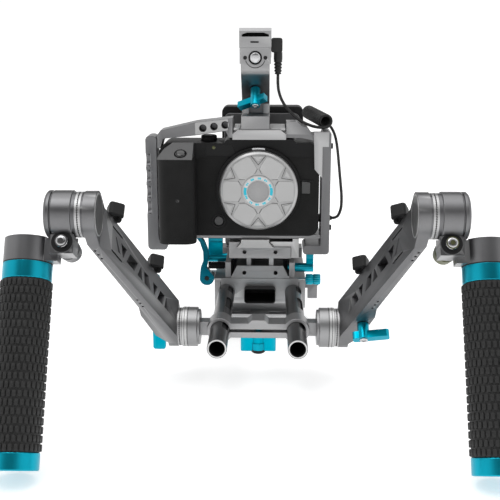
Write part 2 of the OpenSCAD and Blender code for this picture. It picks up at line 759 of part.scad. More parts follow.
module knuckle_knob(s) {
    side(s) grip_frame() {
        bar_y(-7.5, 10.5, knob_x, knuckle_bolt_z, bolt_r);
        bar_y(-9.6, -7.3, knob_x, knuckle_bolt_z, 4);
        bar_y(10.3, 13, knob_x, knuckle_bolt_z, 7);
        bar_y(13, 17, knob_x, knuckle_bolt_z, 7.4);
        bar_y(17, 24, knob_x, knuckle_bolt_z, 6.8);
    }
}

module knuckle_knob_right() color("dimgray") knuckle_knob(-1);
module knuckle_knob_left() color("olive") knuckle_knob(1);

module grip_core(s) {
    side(s) grip_frame() difference() {
        union() {
            bar_z(sleeve_top + 0.1, head_end - 0.1, grip_x, axis_off, grip_r);
            bar_z(sleeve_end + 8, sleeve_top + 0.1, grip_x, axis_off, 10.9);
            bar_z(head_end - 0.2, head_end + 8, grip_x, axis_off, 7.9);
        }
        bar_z(sleeve_end, sleeve_top + 3, grip_x, axis_off, 8);
    }
}

module grip_core_right() color("deepskyblue") grip_core(-1);
module grip_core_left() color("deepskyblue") grip_core(1);

module grip_sleeve(s) {
    side(s) grip_frame() difference() {
        bar_z(sleeve_end + 0.1, sleeve_top, grip_x, axis_off, grip_r + 0.8);
        bar_z(sleeve_end - 1, sleeve_top + 1, grip_x, axis_off, 11);
    }
}

module grip_sleeve_right() color("black") grip_sleeve(-1);
module grip_sleeve_left() color("black") grip_sleeve(1);

module grip_cap(s) {
    side(s) grip_frame() {
        bar_z(grip_end, sleeve_end, grip_x, axis_off, grip_r);
        bar_z(sleeve_end, sleeve_end + 14, grip_x, axis_off, 7.9);
    }
}

module grip_cap_right() color("deepskyblue") grip_cap(-1);
module grip_cap_left() color("deepskyblue") grip_cap(1);

baseplate();
baseplate_cheeks();
base_screws();
rod_right();
rod_left();
riser_plate();
qr_clamp();
qr_jaw();
qr_lever();
lock_lever();
wing_lock();
height_knob();
ratchet_lever();
power_plate();
battery();
camera_plate();
camera_body();
camera_grip();
shutter_button();
mode_dial();
release_button();
mount_ring();
rear_screen();
body_cap();
cage_right();
cage_left();
cage_top();
cage_bottom();
cage_screws();
cable_clamp();
top_rail();
handle_post();
handle_bar();
record_button();
handle_lever();
trigger_plug();
trigger_lead();
trigger_coil();
trigger_tail();
camera_plug();
rosette_bracket();
bracket_screw();
arm_right();
arm_left();
arm_lever_right();
arm_lever_left();
arm_clips_right();
arm_clips_left();
knuckle_right();
knuckle_left();
knuckle_knob_right();
knuckle_knob_left();
grip_head_right();
grip_head_left();
grip_core_right();
grip_core_left();
grip_sleeve_right();
grip_sleeve_left();
grip_cap_right();
grip_cap_left();
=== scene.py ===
"""Looks of a hand-held cinema camera rig: a caged mirrorless camera on a rod baseplate, with two
offset arms and handgrips, a top handle and a curly trigger cable.

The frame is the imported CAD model's: metres, Z up, lens towards -Y, the tripod thread's underside at the
origin. Right and left are the operator's, so a name ending in right is on the -X side.
"""

import json
import math

import bmesh
import bpy
from mathutils import Matrix, Vector


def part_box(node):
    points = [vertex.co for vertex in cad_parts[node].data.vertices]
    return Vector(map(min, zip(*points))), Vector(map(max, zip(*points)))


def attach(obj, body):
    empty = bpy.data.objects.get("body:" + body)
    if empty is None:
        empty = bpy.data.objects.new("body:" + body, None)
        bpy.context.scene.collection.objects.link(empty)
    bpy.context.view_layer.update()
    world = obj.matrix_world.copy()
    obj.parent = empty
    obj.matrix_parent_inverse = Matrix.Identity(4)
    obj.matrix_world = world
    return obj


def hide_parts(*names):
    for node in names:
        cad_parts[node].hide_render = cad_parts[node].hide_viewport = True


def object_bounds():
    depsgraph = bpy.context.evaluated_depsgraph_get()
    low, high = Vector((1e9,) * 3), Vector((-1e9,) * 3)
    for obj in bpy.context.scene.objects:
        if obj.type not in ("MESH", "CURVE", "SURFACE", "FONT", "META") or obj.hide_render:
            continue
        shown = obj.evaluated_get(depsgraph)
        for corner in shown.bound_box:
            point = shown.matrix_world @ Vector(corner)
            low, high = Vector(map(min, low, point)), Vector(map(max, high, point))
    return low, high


MM = 0.001
TINY = 1e-6
FORWARD = (0, -1, 0)    # along the lens
LEFTWARD = (1, 0, 0)    # the operator's left
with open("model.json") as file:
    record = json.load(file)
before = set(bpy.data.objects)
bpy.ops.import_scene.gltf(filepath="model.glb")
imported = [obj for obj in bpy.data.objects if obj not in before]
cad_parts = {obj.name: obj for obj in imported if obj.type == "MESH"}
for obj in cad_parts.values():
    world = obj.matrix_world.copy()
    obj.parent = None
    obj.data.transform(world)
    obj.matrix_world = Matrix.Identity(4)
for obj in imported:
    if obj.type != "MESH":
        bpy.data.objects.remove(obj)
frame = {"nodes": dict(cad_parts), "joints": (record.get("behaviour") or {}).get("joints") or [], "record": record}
cad_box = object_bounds()
BODY_OF = {n: body for body, nodes in frame["record"]["behaviour"]["bodies"].items() for n in nodes}
JOINTS = {joint["name"]: joint for joint in frame["joints"]}


# ---- places, from the frame ----

def at(x, y, z):
    """A point given in mm."""
    return Vector((x * MM, y * MM, z * MM))


def shifted(x, y, z):
    return Matrix.Translation(at(x, y, z))


def turned(axis, degrees):
    return Matrix.Rotation(math.radians(degrees), 4, axis)


def facing(place, direction, up=(0, 0, 1)):
    """Matrix whose Z points along direction, with Y as near to up as it can be."""
    z = Vector(direction).normalized()
    x = Vector(up).cross(z)
    x = Vector((1, 0, 0)) if x.length < TINY else x.normalized()
    y = z.cross(x)
    return Matrix.Translation(Vector(place)) @ Matrix((x, y, z)).transposed().to_4x4()


def front_place(x=0.0, z=0.0):
    """For outlines in (X, Z) seen from the front: heights count towards the viewer from Y = 0."""
    return facing(at(x, 0, z), FORWARD)


def outwards(y, z):
    """For shapes turned about a line along X: heights count towards +X from the middle."""
    return Matrix.Translation((0, y, z)) @ turned("Y", 90)


def joint_place(name):
    return Vector(JOINTS[name]["pos_m"])


def middle(node):
    low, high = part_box(node)
    return (low + high) / 2


MIRROR = Matrix.Diagonal((-1, 1, 1, 1))
SIDES = {"left": Matrix.Identity(4), "right": MIRROR}
PIVOT = joint_place("arm_swing_left")
KNUCKLE = joint_place("grip_tilt_left")
ARM_LEAN = math.degrees(math.atan2(PIVOT.y - KNUCKLE.y, KNUCKLE.z - PIVOT.z))
ARM_LENGTH = math.hypot(PIVOT.y - KNUCKLE.y, KNUCKLE.z - PIVOT.z) / MM
KNOB_AXIS = Vector(JOINTS["knuckle_knob_turn_left"]["axis"])
GRIP_LEAN = math.degrees(math.atan2(-KNOB_AXIS.z, KNOB_AXIS.y))
# Z up the arm, Y across it and X outwards, from the middle of the rig
ARM_FRAME = Matrix.Translation((0, PIVOT.y, PIVOT.z)) @ turned("X", ARM_LEAN)
# -Z down the grip, from the knuckle's axis
GRIP_FRAME = Matrix.Translation((0, KNUCKLE.y, KNUCKLE.z)) @ turned("X", -GRIP_LEAN)
GRIP_X = middle("grip_cap_left").x     # grip's axis, from the middle of the rig
GRIP_BACK = 8.8 * MM                   # and behind the knuckle's axis
LENS = joint_place("cap_twist")
CAMERA_FRONT = -45                     # mm
LOWER_TEETH = 61.6                     # planes of the rosette teeth, mm from the middle
UPPER_TEETH = 114


# ---- making meshes ----

WELD = 0.005    # mm, vertices closer than this are one
FLAT = 0.5      # degrees, faces that meet at less than this are one
ROUND = 50      # degrees, edges up to this are smooth on turned and moulded pieces


def piece(name, bm, finish, body, nodes=(), place=None, bevel=0.0, steps=2, sharp=32):
    """Makes a mesh into a piece with a finish, that rides on a body and stands for CAD nodes."""
    if place is not None:
        bmesh.ops.transform(bm, matrix=place, verts=bm.verts)
    bmesh.ops.recalc_face_normals(bm, faces=bm.faces)
    mesh = bpy.data.meshes.new(name)
    bm.to_mesh(mesh)
    bm.free()
    for face in mesh.polygons:
        face.use_smooth = True
    mesh.set_sharp_from_angle(angle=math.radians(sharp))
    material, slot = finish
    mesh.materials.append(material)
    obj = bpy.data.objects.new(name, mesh)
    bpy.context.scene.collection.objects.link(obj)
    if bevel:
        edge = obj.modifiers.new("edge", "BEVEL")
        edge.width = bevel * MM
        edge.segments = steps
        edge.limit_method = "ANGLE"
        edge.angle_limit = math.radians(sharp)
        edge.harden_normals = True
    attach(obj, body)
    if nodes:
        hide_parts(*nodes)
    return obj


def cad_mesh(node):
    """A copy of a CAD node's mesh with its flat faces whole."""
    bm = bmesh.new()
    bm.from_mesh(frame["nodes"][node].data)
    bmesh.ops.remove_doubles(bm, verts=bm.verts, dist=WELD * MM)
    bmesh.ops.dissolve_limit(bm, angle_limit=math.radians(FLAT), verts=bm.verts, edges=bm.edges)
    return bm


def refined(node, finish, bevel=0.5, steps=2, sharp=32):
    """The CAD node's own shape with its edges broken, as a machined or moulded part has them."""
    return piece(node + "_finished", cad_mesh(node), finish, BODY_OF[node], [node],
                 bevel=bevel, steps=steps, sharp=sharp)


def cut_across(node, height, keep_above, finish, bevel, steps):
    """One side of a CAD node, cut at a height in mm, with its edges broken."""
    bm = cad_mesh(node)
    cut = bmesh.ops.bisect_plane(bm, geom=[*bm.verts, *bm.edges, *bm.faces], plane_co=(0, 0, height * MM),
                                 plane_no=(0, 0, 1), clear_outer=not keep_above, clear_inner=keep_above)
    rim = [e for e in cut["geom_cut"] if isinstance(e, bmesh.types.BMEdge)]
    bmesh.ops.holes_fill(bm, edges=rim, sides=0)
    name = node + ("_upper" if keep_above else "_lower")
    return piece(name, bm, finish, BODY_OF[node], [node], bevel=bevel, steps=steps)


def joined(*meshes):
    """One bmesh from several."""
    whole = meshes[0]
    for bm in meshes[1:]:
        part = bpy.data.meshes.new("part")
        bm.to_mesh(part)
        bm.free()
        whole.from_mesh(part)
        bpy.data.meshes.remove(part)
    return whole


def moved(bm, place):
    bmesh.ops.transform(bm, matrix=place, verts=bm.verts)
    return bm


def lathe(profile, steps=72, ribs=0):
    """A solid turned about Z from (radius, height) points in mm. A third value is the depth of its ribs."""
    bm = bmesh.new()
    rings = []
    for radius, height, *depth in profile:
        if radius < TINY:
            rings.append([bm.verts.new((0, 0, height * MM))])
            continue
        ring = []
        for k in range(steps):
            angle = 2 * math.pi * k / steps
            dip = depth[0] * (0.5 - 0.5 * math.cos(ribs * angle)) ** 2 if depth else 0
            reach = (radius - dip) * MM
            ring.append(bm.verts.new((reach * math.cos(angle), reach * math.sin(angle), height * MM)))
        rings.append(ring)
    closed = len(rings[0]) > 1
    for a, b in zip(rings, rings[1:] + rings[:1] if closed else rings[1:]):
        for k in range(steps):
            corners = [a[k % len(a)], a[(k + 1) % len(a)], b[(k + 1) % len(b)], b[k % len(b)]]
            corners = list(dict.fromkeys(corners))
            if len(corners) > 2:
                bm.faces.new(corners)
    return bm


STRAIGHT = math.radians(178)    # corners opener than this stay as they are
MOST_OF_SIDE = 0.48             # share of a side that one corner may take


def rounded(points, radius, steps=4):
    """A closed outline with each corner of the points made round."""
    outline = []
    points = [Vector(p) for p in points]
    for i, corner in enumerate(points):
        before = points[i - 1] - corner
        after = (points[(i + 1) % len(points)] - corner)
        angle = before.angle(after)
        if angle > STRAIGHT:
            outline.append(tuple(corner))
            continue
        reach = min(radius / math.tan(angle / 2), MOST_OF_SIDE * before.length, MOST_OF_SIDE * after.length)
        start = corner + before.normalized() * reach
        end = corner + after.normalized() * reach
        for k in range(steps + 1):
            t = k / steps
            outline.append(tuple((1 - t) ** 2 * start + 2 * t * (1 - t) * corner + t * t * end))
    return outline


def box_outline(x0, y0, x1, y1):
    return [(x0, y0), (x1, y0), (x1, y1), (x0, y1)]


def circle(x, y, radius, steps=32):
    angles = [2 * math.pi * k / steps for k in range(steps)]
    return [(x + radius * math.cos(a), y + radius * math.sin(a)) for a in angles]


def prism(outline, low, high, holes=()):
    """A flat outline in mm with holes, raised from low to high along Z."""
    bm = bmesh.new()
    edges = []
    for loop in [outline, *holes]:
        verts = [bm.verts.new((x * MM, y * MM, low * MM)) for x, y in loop]
        edges += [bm.edges.new((a, b)) for a, b in zip(verts, verts[1:] + verts[:1])]
    if holes:
        bmesh.ops.triangle_fill(bm, use_beauty=True, use_dissolve=False, edges=edges)
    else:
        bm.faces.new(bm.verts)
    wall = bmesh.ops.extrude_face_region(bm, geom=bm.faces[:])
    top = [v for v in wall["geom"] if isinstance(v, bmesh.types.BMVert)]
    bmesh.ops.translate(bm, vec=(0, 0, (high - low) * MM), verts=top)
    return bm


def block(low, high):
    """A box between two corners in mm."""
    return prism(box_outline(low[0], low[1], high[0], high[1]), low[2], high[2])


def strip(a, b, width, low, high):
    """A straight bar between two points of a plane."""
    a = Vector(a)
    b = Vector(b)
    across = (b - a).orthogonal().normalized() * width / 2
    return prism([a + across, b + across, b - across, a - across], low, high)


def arc_band(inner, outer, start, end, low, high, steps=24):
    """Part of a flat ring, between two angles in degrees."""
    angles = [math.radians(start + (end - start) * k / steps) for k in range(steps + 1)]
    outside = [(outer * math.cos(a), outer * math.sin(a)) for a in angles]
    inside = [(inner * math.cos(a), inner * math.sin(a)) for a in reversed(angles)]
    return prism(outside + inside, low, high)


TOOTH_DEPTH = 0.55    # mm


def toothed_ring(inner, outer, low, high, teeth):
    """A ring in mm whose upper face is cut into small radial teeth."""
    bm = bmesh.new()
    rows = []
    for k in range(2 * teeth):
        angle = math.pi * k / teeth
        top = high if k % 2 else high - TOOTH_DEPTH
        rows.append([bm.verts.new((r * MM * math.cos(angle), r * MM * math.sin(angle), z * MM))
                     for r, z in ((inner, low), (outer, low), (outer, top), (inner, top))])
    for a, b in zip(rows, rows[1:] + rows[:1]):
        for i in range(4):
            bm.faces.new((a[i], b[i], b[(i + 1) % 4], a[(i + 1) % 4]))
    return bm


# ---- materials ----

def finish(slot, name, dark, light, metal, rough, grain, height,
           blotch=25.0, wear=None, coat=0.0, shine=0.5):
    """A procedural surface: colour varying from dark to light, roughness between two values, a fine
    grain whose size and height are in mm, and edges worn to another colour."""
    material = bpy.data.materials.new(name)
    material.use_nodes = True
    nodes = material.node_tree.nodes
    links = material.node_tree.links
    shader = nodes["Principled BSDF"]
    shader.inputs["Metallic"].default_value = metal
    shader.inputs["Specular IOR Level"].default_value = shine
    shader.inputs["Coat Weight"].default_value = coat
    shader.inputs["Coat Roughness"].default_value = 0.15
    place = nodes.new("ShaderNodeTexCoord")

    cloud = nodes.new("ShaderNodeTexNoise")
    cloud.inputs["Scale"].default_value = blotch
    cloud.inputs["Detail"].default_value = 6
    links.new(place.outputs["Object"], cloud.inputs["Vector"])
    colour = nodes.new("ShaderNodeValToRGB")
    colour.color_ramp.elements[0].position = 0.3
    colour.color_ramp.elements[0].color = (*dark, 1)
    colour.color_ramp.elements[1].position = 0.7
    colour.color_ramp.elements[1].color = (*light, 1)
    links.new(cloud.outputs["Fac"], colour.inputs["Fac"])

    fine = nodes.new("ShaderNodeTexNoise")
    fine.inputs["Scale"].default_value = 1 / (grain * MM)
    fine.inputs["Detail"].default_value = 3
    links.new(place.outputs["Object"], fine.inputs["Vector"])
    spread = nodes.new("ShaderNodeMapRange")
    spread.inputs["To Min"].default_value = rough[0]
    spread.inputs["To Max"].default_value = rough[1]
    links.new(cloud.outputs["Fac"], spread.inputs["Value"])
    links.new(spread.outputs["Result"], shader.inputs["Roughness"])
    bump = nodes.new("ShaderNodeBump")
    bump.inputs["Distance"].default_value = height * MM
    bump.inputs["Strength"].default_value = 0.6
    links.new(fine.outputs["Fac"], bump.inputs["Height"])
    links.new(bump.outputs["Normal"], shader.inputs["Normal"])

    if wear is None:
        links.new(colour.outputs["Color"], shader.inputs["Base Color"])
        return material, slot
    shape = nodes.new("ShaderNodeNewGeometry")
    edges = nodes.new("ShaderNodeValToRGB")
    edges.color_ramp.elements[0].position = 0.52
    edges.color_ramp.elements[1].position = 0.62
    links.new(shape.outputs["Pointiness"], edges.inputs["Fac"])
    patchy = nodes.new("ShaderNodeMath")
    patchy.operation = "MULTIPLY"
    links.new(edges.outputs["Color"], patchy.inputs[0])
    links.new(fine.outputs["Fac"], patchy.inputs[1])
    mix = nodes.new("ShaderNodeMix")
    mix.data_type = "RGBA"
    mix.inputs["B"].default_value = (*wear, 1)
    links.new(patchy.outputs[0], mix.inputs["Factor"])
    links.new(colour.outputs["Color"], mix.inputs["A"])
    links.new(mix.outputs["Result"], shader.inputs["Base Color"])
    return material, slot


# Three tones of the one grey anodise. GREY on the handle post below its bend and DARK_GREY on the arms' discs
# stand for painted shade.
GREY = finish("grey_anodised", "grey_anodised", (0.135, 0.135, 0.14), (0.17, 0.17, 0.175),
              1.0, (0.32, 0.42), 0.25, 0.012, wear=(0.5, 0.5, 0.5))
LIGHT_GREY = finish("grey_anodised", "light_anodised", (0.27, 0.27, 0.275), (0.32, 0.32, 0.325),
                    1.0, (0.36, 0.46), 0.25, 0.012, wear=(0.65, 0.65, 0.65))
DARK_GREY = finish("grey_anodised", "dark_anodised", (0.095, 0.095, 0.098), (0.12, 0.12, 0.123),
                   1.0, (0.30, 0.40), 0.25, 0.012, wear=(0.35, 0.35, 0.35))
SILVER = finish("bare_aluminium", "bare_aluminium", (0.37, 0.37, 0.37), (0.43, 0.43, 0.43),
                1.0, (0.36, 0.46), 0.3, 0.015, wear=(0.75, 0.75, 0.75))
STEEL = finish("steel", "turned_steel", (0.5, 0.5, 0.51), (0.6, 0.6, 0.61), 1.0, (0.16, 0.26), 0.2, 0.004)
BLUE = finish("blue_anodised", "blue_anodised", (0.0, 0.29, 0.40), (0.0, 0.35, 0.48),
              1.0, (0.26, 0.36), 0.25, 0.010, wear=(0.15, 0.6, 0.7))
TEAL = finish("blue_anodised", "deep_blue_anodised", (0.0, 0.09, 0.14), (0.0, 0.13, 0.19),
              1.0, (0.26, 0.36), 0.25, 0.010, wear=(0.1, 0.4, 0.5))
BLACK = finish("black_plastic", "black_moulding", (0.005, 0.005, 0.0055), (0.009, 0.009, 0.0095),
               0.0, (0.42, 0.55), 0.35, 0.03, wear=(0.03, 0.03, 0.03), shine=0.2)
LEATHER = finish("black_rubber", "grained_covering", (0.006, 0.006, 0.006), (0.011, 0.011, 0.011),
                 0.0, (0.55, 0.7), 0.9, 0.18, blotch=60, shine=0.2)
SATIN_GREY = finish("black_plastic", "grey_paint", (0.050, 0.050, 0.051), (0.066, 0.066, 0.067),
                    0.0, (0.35, 0.45), 0.3, 0.02, coat=0.1, shine=0.4)
GLOSS = finish("screen_glass", "gloss_black", (0.004, 0.004, 0.0045), (0.007, 0.007, 0.0075),
               0.0, (0.06, 0.12), 0.5, 0.002, coat=0.3)
RUBBER = finish("black_rubber", "moulded_rubber", (0.010, 0.010, 0.010), (0.017, 0.017, 0.017),
                0.0, (0.5, 0.65), 0.3, 0.05, blotch=80, wear=(0.04, 0.04, 0.04), shine=0.3)
CABLE = finish("cable", "cable_jacket", (0.007, 0.007, 0.007), (0.013, 0.013, 0.013),
               0.0, (0.38, 0.5), 0.3, 0.03, blotch=80, shine=0.35)
OLIVE = finish("grey_anodised", "olive_knob", (0.09, 0.095, 0.045), (0.12, 0.125, 0.06),
               0.8, (0.35, 0.45), 0.3, 0.03)
AMBER = finish("screen_glass", "lamp_lens", (0.05, 0.055, 0.01), (0.08, 0.09, 0.02),
               0.0, (0.1, 0.2), 0.5, 0.002, coat=0.5)


# ---- camera ----

VIEW_FROM = at(9.28, -799.83, 248.81)
VIEW_DOWN = math.radians(14)
VIEW_ASIDE = math.radians(1.37)
VIEW_LENS = 63.36    # mm, on a 36 mm sensor


def make_camera():
    """Looks slightly down at the rig, from in front and just left of its middle."""
    data = bpy.data.cameras.new("camera")
    data.sensor_width = 36
    data.lens = VIEW_LENS
    data.clip_start = 0.01
    obj = bpy.data.objects.new("camera", data)
    bpy.context.scene.collection.objects.link(obj)
    bpy.context.scene.camera = obj
    level = math.cos(VIEW_DOWN)
    forward = Vector((-math.sin(VIEW_ASIDE) * level, math.cos(VIEW_ASIDE) * level, -math.sin(VIEW_DOWN)))
    obj.location = VIEW_FROM
    obj.rotation_mode = "QUATERNION"
    obj.rotation_quaternion = forward.to_track_quat("-Z", "Y")


make_camera()


# ---- trigger cable ----

# all in mm
CABLE_D = 2.6
COIL_R = 6.4
COIL_FRONT = Vector((57, -27, 172))
COIL_BACK = Vector((44, 30, 175))
COIL_PITCH = 3.0
LEAD_ROUTE = [(14.8, -42, 213), (14.8, -42, 206), (15.6, -42, 199), (18, -42, 192), (22, -42, 185.5),
              (27.5, -42, 179.5), (34, -40.5, 174.2), (40.5, -37.5, 170.6), (46.5, -33.5, 168.2),
              (52, -29.6, 167)]
TAIL_ROUTE = [(50.2, 31.2, 169.6), (56, 32.6, 168), (62, 33.5, 164.5), (67, 33.6, 158.5), (70, 31.6, 151),
              (71.5, 26.5, 142), (72.2, 17, 132), (72.6, 6, 122), (73, -5, 112.5), (73.3, -14, 103),
              (72.5, -21, 94.5), (70, -25, 88.5), (67, -26, 86.4), (64, -26, 86)]
TURN_STEPS = 16


def coil_points():
    """The curly stretch: a helix that starts and ends under its axis."""
    axis = COIL_BACK - COIL_FRONT
    along = axis.normalized()
    side = along.cross(Vector((0, 0, 1))).normalized()
    rise = side.cross(along)
    turns = round(axis.length / COIL_PITCH)
    radius = COIL_R - CABLE_D / 2
    points = []
    for k in range(turns * TURN_STEPS + 1):
        angle = 2 * math.pi * k / TURN_STEPS
        share = k / (turns * TURN_STEPS)
        offset = math.sin(angle) * side - math.cos(angle) * rise
        points.append(COIL_FRONT + axis * share + radius * offset)
    return points


def smooth_through(points, steps):
    """More points along a smooth curve through the given ones."""
    points = [Vector(p) for p in points]
    ends = [2 * points[0] - points[1], *points, 2 * points[-1] - points[-2]]
    out = []
    for a, b, c, d in zip(ends, ends[1:], ends[2:], ends[3:]):
        for k in range(steps):
            t = k / steps
            out.append(0.5 * (2 * b + (c - a) * t + (2 * a - 5 * b + 4 * c - d) * t * t
                              + (3 * b - a - 3 * c + d) * t ** 3))
    return [*out, points[-1]]


def make_cable():
    """The whole cable as one curve: lead, curly stretch and tail."""
    coil = coil_points()
    lead = smooth_through([*LEAD_ROUTE, coil[0], coil[2]], 4)[:-4]
    tail = smooth_through([coil[-3], coil[-1], *TAIL_ROUTE], 4)[4:]
    points = [*lead[:-1], *coil, *tail[1:]]
    curve = bpy.data.curves.new("trigger_cable", "CURVE")
    curve.dimensions = "3D"
    curve.bevel_depth = CABLE_D / 2 * MM
    curve.bevel_resolution = 3
    curve.use_fill_caps = True
    line = curve.splines.new("POLY")
    line.points.add(len(points) - 1)
    for knot, point in zip(line.points, points):
        knot.co = (*(point * MM), 1)
    line.use_smooth = True
    curve.materials.append(CABLE[0])
    obj = bpy.data.objects.new("trigger_cable", curve)
    bpy.context.scene.collection.objects.link(obj)
    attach(obj, "camera")
    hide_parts("trigger_lead", "trigger_coil", "trigger_tail")
    plugs = [make_handle_plug(), make_camera_plug()]


def make_handle_plug():
    """Right-angle plug: a soft block on the handle's side with a ribbed strain relief under it."""
    inner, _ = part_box("trigger_plug")
    x, y, _ = LEAD_ROUTE[0]
    head = prism(rounded(box_outline(8.9, 231, 18.4, 243), 2.2), -4, 4)
    moved(head, facing(at(0, y, 0), FORWARD))
    relief = [(0, 231.4), (3.6, 231.4), (3.7, 226)]
    for k in range(4):
        z = 224.5 - 2.6 * k
        rib = 3.5 - 0.12 * k
        neck_r = 2.7 - 0.1 * k
        relief += [(rib, z), (rib, z - 1.5), (neck_r, z - 1.6), (neck_r, z - 2.5)]
    relief += [(3.0, 213.6), (2.4, 213), (0, 213)]
    neck = moved(lathe(relief, 32), shifted(x, y, 0))
    pin = lathe([(0, 0), (1.8, 0), (1.8, 4.8), (0, 4.8)], 24)
    moved(pin, facing((inner.x, y * MM, 238 * MM), LEFTWARD))
    return piece("handle_plug", joined(head, neck, pin), CABLE, "camera", ["trigger_plug"], bevel=0.35)


def make_camera_plug():
    """Small straight plug in the camera's port, with a tapered and ribbed relief."""
    low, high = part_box("camera_plug")
    centre = middle("camera_plug")
    reach = (high.x - low.x) / MM
    profile = [(0, 0), (1.8, 0), (1.8, 5.2), (3.6, 5.3), (3.6, 11)]
    for k in range(3):
        z = 11.6 + 1.9 * k
        profile += [(3.0 - 0.25 * k, z), (3.0 - 0.25 * k, z + 1.1), (2.3 - 0.2 * k, z + 1.2)]
    profile += [(2.0, reach), (0, reach)]
    bm = lathe(profile, 32)
    return piece("port_plug", bm, CABLE, "camera", ["camera_plug"],
                 place=facing((low.x, centre.y, centre.z), LEFTWARD), bevel=0.2)


make_cable()


# ---- rods and baseplate ----

def make_base():
    for node in ("baseplate", "riser_plate", "qr_clamp"):
        refined(node, LIGHT_GREY, 0.6)
    refined("baseplate_cheeks", LIGHT_GREY, 0.5)
    refined("base_screws", BLACK, 0.2)
    refined("qr_jaw", SILVER, 0.4)
    refined("camera_plate", SILVER, 0.4)
    refined("power_plate", DARK_GREY, 1.0)
    refined("battery", BLACK, 1.2)
    refined("qr_lever", TEAL, 1.4, 3)
    refined("lock_lever", BLUE, 0.6)
    refined("wing_lock", BLUE, 0.6)
    refined("ratchet_lever", GREY, 0.5)
    low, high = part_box("baseplate")
    front = -low.y / MM
    wide = high.x / MM
    # Painted shade: a black wall and back inside the baseplate's window.
    window = rounded(box_outline(-13.9, 12.5, 13.9, 26.1), 2.9)
    wall = prism(window, 18.1, front - 0.8, holes=[rounded(box_outline(-13.5, 12.9, 13.5, 25.7), 2.5)])
    back = prism(window, 18.1, 18.5)
    # Painted shade: black strips in the seams between the baseplate and its cheeks.
    seams = [block((x - 0.25, -front - 0.04, 5.5), (x + 0.25, -front + 1, 32.6)) for x in (-wide, wide)]
    piece("base_window_painted_shade_lining", joined(wall, back), BLACK, "base", place=front_place())
    piece("cheek_seams", joined(*seams), BLACK, "base")


def make_rods():
    """Tubes with painted shade inside them, as black sleeves, and a painted highlight at each end, as a silver
    ring.
    """
    for name in ("rod_right", "rod_left"):
        low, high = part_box(name)
        centre = middle(name)
        length = (high.y - low.y) / MM
        refined(name, DARK_GREY, 0.5)
        place = facing((centre.x, high.y, centre.z), FORWARD)
        # Painted shade: a black sleeve inside the tube.
        painted_shade_lining = lathe([(5.6, 0.3), (5.97, 0.3), (5.97, length - 1.2), (5.6, length - 1.2)], 48)
        piece(name + "_painted_shade_lining", painted_shade_lining, BLACK, "base", place=place)
        # Painted highlight: a silver ring at each end, for the rim light.
        for end in (0.0, length):
            edge = lathe([(6.1, end - 0.35), (7.1, end - 0.35), (7.1, end + 0.02), (6.1, end + 0.02)], 64)
            piece(f"{name}_painted_highlight_{end:.0f}", edge, SILVER, "base", place=place)


THREAD_END = at(-47.6, -18.7, 39.5)    # outer end of the cam's threaded barrel


def make_knobs():
    """Ribbed height knob, threaded barrel of the cam, and the details of the small levers."""
    low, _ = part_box("height_knob")
    centre = middle("height_knob")
    knob = lathe([(0, 0), (2, 0), (2, 5.2), (4.4, 5.2), (4.9, 5.8, 0.7), (4.9, 11.1, 0.7), (4.3, 11.4, 0.4),
                  (4.3, 12.1, 0.4), (4.9, 12.4, 0.7), (4.9, 17.6, 0.7), (4.3, 18.5), (0, 18.6)], 96, 14)
    piece("height_knob_ribbed", knob, BLUE, "height_knob", ["height_knob"],
          place=facing((low.x, centre.y, centre.z), LEFTWARD), sharp=ROUND)
    thread = [(0, 0), (3.0, 0)]
    for k in range(11):
        thread += [(3.0, 0.3 + 1.3 * k), (3.6, 0.7 + 1.3 * k), (3.6, 1.0 + 1.3 * k), (3.0, 1.4 + 1.3 * k)]
    thread += [(2.6, 15), (2.6, 17), (0, 17)]
    piece("cam_thread", lathe(thread, 32), BLACK, "base", place=facing(THREAD_END, LEFTWARD))
    cam = joint_place("cam_lever_swing")
    bush = lathe([(0, 14.9), (2.02, 14.9), (2.02, 22.7), (0, 22.7)], 24)
    piece("cam_pin_face", bush, BLACK, "base", place=front_place(cam.x / MM, cam.z / MM))
    ratchet = joint_place("ratchet_lever_turn")
    _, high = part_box("ratchet_lever")
    screw = lathe([(0, 0), (2.6, 0), (2.6, 0.8), (2.2, 1.2), (1.2, 1.2), (1.0, 0.6), (0, 0.6)], 24)
    piece("ratchet_screw", screw, BLACK, "ratchet_lever",
          place=facing((high.x - 0.2 * MM, ratchet.y, ratchet.z), LEFTWARD))


make_rods()
make_knobs()
make_base()


# ---- camera and cage ----

GRIP_SPLIT = 143.2    # heights in mm where a piece changes its finish
# On the handle post this is the bend: below it the darker grey is painted shade, where the face turns down.
POST_SPLIT = 213.5


def make_camera_parts():
    refined("camera_body", BLACK, 2.0, 3)
    cut_across("camera_grip", GRIP_SPLIT, False, LEATHER, 3.0, 4)
    cut_across("camera_grip", GRIP_SPLIT, True, SATIN_GREY, 1.6, 3)
    refined("rear_screen", GLOSS, 0.5)
    refined("mount_ring", STEEL, 0.2)
    for node in ("cage_right", "cage_left", "cage_top", "cage_bottom"):
        refined(node, GREY, 0.8)
    refined("cable_clamp", LIGHT_GREY, 0.5)
    refined("cage_screws", BLACK, 0.2)
    refined("top_rail", LIGHT_GREY, 0.5)
    # The handle post is one part: the darker grey below the bend is painted shade.
    cut_across("handle_post", POST_SPLIT, True, LIGHT_GREY, 0.6, 3)
    cut_across("handle_post", POST_SPLIT, False, GREY, 0.3, 2)
    refined("handle_bar", LIGHT_GREY, 0.5, 3)
    refined("handle_lever", BLUE, 0.8, 3)


RELEASE = (-36, 87)                    # lens release, from the front in mm
SHUTTER = at(-67.3, -60, 147.6)


def make_camera_details():
    """Covering, panels, buttons and marks of the camera body."""
    make_front_details()
    make_top_details()
    make_eyepiece()


